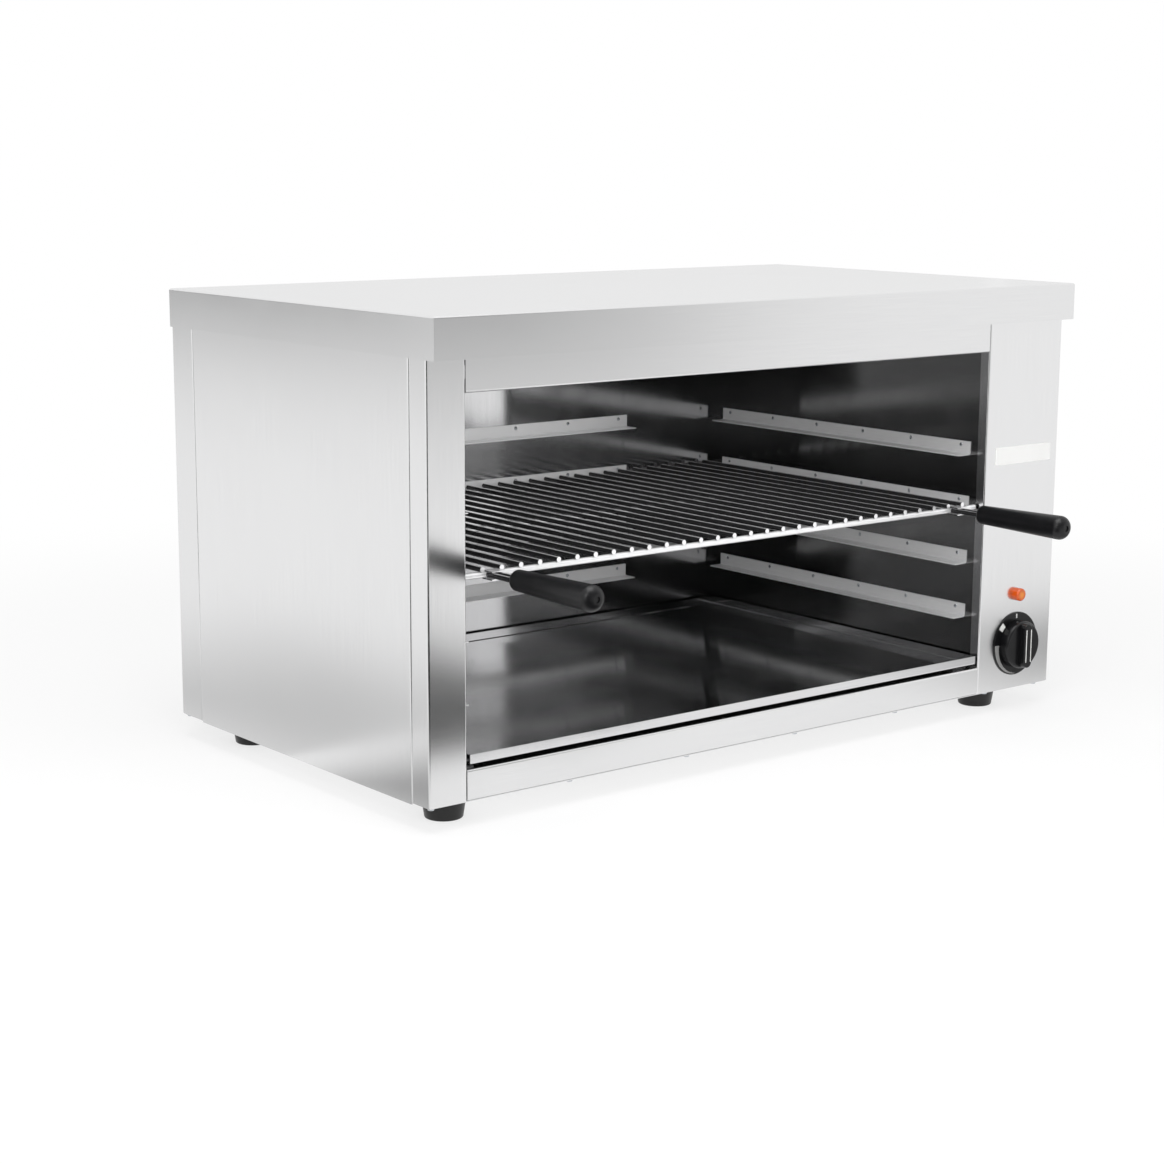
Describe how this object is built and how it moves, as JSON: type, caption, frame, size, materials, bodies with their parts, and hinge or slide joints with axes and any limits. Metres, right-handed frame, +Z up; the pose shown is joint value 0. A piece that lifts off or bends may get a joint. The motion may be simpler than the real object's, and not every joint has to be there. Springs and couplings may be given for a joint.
{
  "type": "salamander grill",
  "caption": "Open-fronted electric salamander grill with a folded stainless casing, rack rails, a wire rack with handles, a crumb tray and a side control panel.",
  "frame": {"origin": "on the bench under the middle of the box that holds the grill, its rack handles and its cable gland", "axes": "+X to the right along the width, +Y to the back, +Z up"},
  "size_m": [0.84, 0.6118, 0.465],
  "materials": {
    "brushed_stainless": "satin brushed",
    "polished_stainless": "bright rolled",
    "stainless_angle": "mill",
    "element_sheath": "oxidised",
    "black_rubber": "moulded",
    "white_ceramic": "glazed",
    "zinc_plated_steel": "plated",
    "black_phenolic": "moulded",
    "black_nylon": "moulded",
    "amber_lens": "clear moulded",
    "silicone_wire": "extruded",
    "chromed_wire": "bright"
  },
  "bodies": {
    "casing": {"top_cover": "brushed_stainless", "front_left_post": "brushed_stainless", "control_panel": "brushed_stainless", "front_header": "brushed_stainless", "bottom_rail": "brushed_stainless", "left_side_panel": "brushed_stainless", "right_side_panel": "brushed_stainless", "back_panel": "brushed_stainless", "base_pan": "brushed_stainless", "liner_left_wall": "polished_stainless", "liner_right_wall": "polished_stainless", "liner_back_wall": "polished_stainless", "liner_ceiling": "polished_stainless", "left_rack_rail_1": "stainless_angle", "right_rack_rail_1": "stainless_angle", "back_rack_rail_1": "stainless_angle", "left_rack_rail_2": "stainless_angle", "right_rack_rail_2": "stainless_angle", "back_rack_rail_2": "stainless_angle", "left_rack_rail_3": "stainless_angle", "right_rack_rail_3": "stainless_angle", "back_rack_rail_3": "stainless_angle", "left_rack_rail_4": "stainless_angle", "right_rack_rail_4": "stainless_angle", "back_rack_rail_4": "stainless_angle", "left_tray_runner": "stainless_angle", "right_tray_runner": "stainless_angle", "element_straps": "stainless_angle", "front_heating_element": "element_sheath", "middle_heating_element": "element_sheath", "rear_heating_element": "element_sheath", "front_left_foot": "black_rubber", "rear_left_foot": "black_rubber", "front_right_foot": "black_rubber", "rear_right_foot": "black_rubber", "element_insulators": "white_ceramic", "terminal_block": "white_ceramic", "element_pins": "zinc_plated_steel", "foot_screws": "zinc_plated_steel", "base_screws": "zinc_plated_steel", "cover_screws": "zinc_plated_steel", "dial_plate": "black_phenolic", "regulator_body": "black_nylon", "cable_gland": "black_nylon", "gland_lock_nut": "black_nylon", "pilot_lamp_body": "black_nylon", "pilot_lamp_nut": "black_nylon", "pilot_lamp_lens": "amber_lens", "internal_wires": "silicone_wire"},
    "rack": {"rack_grid": "chromed_wire", "left_handle_wires": "chromed_wire", "right_handle_wires": "chromed_wire", "left_handle_clip": "chromed_wire", "right_handle_clip": "chromed_wire", "left_handle_grip": "black_phenolic", "right_handle_grip": "black_phenolic"},
    "tray": {"crumb_tray": "polished_stainless"},
    "knob": {"control_knob": "black_phenolic", "regulator_spindle": "zinc_plated_steel"}
  },
  "joints": [
    {"name": "rack_slide", "type": "slide", "parent": "casing", "child": "rack", "axis": [0, -1, 0], "range_m": [0, 0.42]},
    {"name": "tray_slide", "type": "slide", "parent": "casing", "child": "tray", "axis": [0, -1, 0], "range_m": [0, 0.43]},
    {"name": "knob_turn", "type": "hinge", "parent": "casing", "child": "knob", "pos_m": [0.3618, -0.1639, 0.074], "axis": [0, 1, 0], "range_deg": [0, 315]}
  ]
}
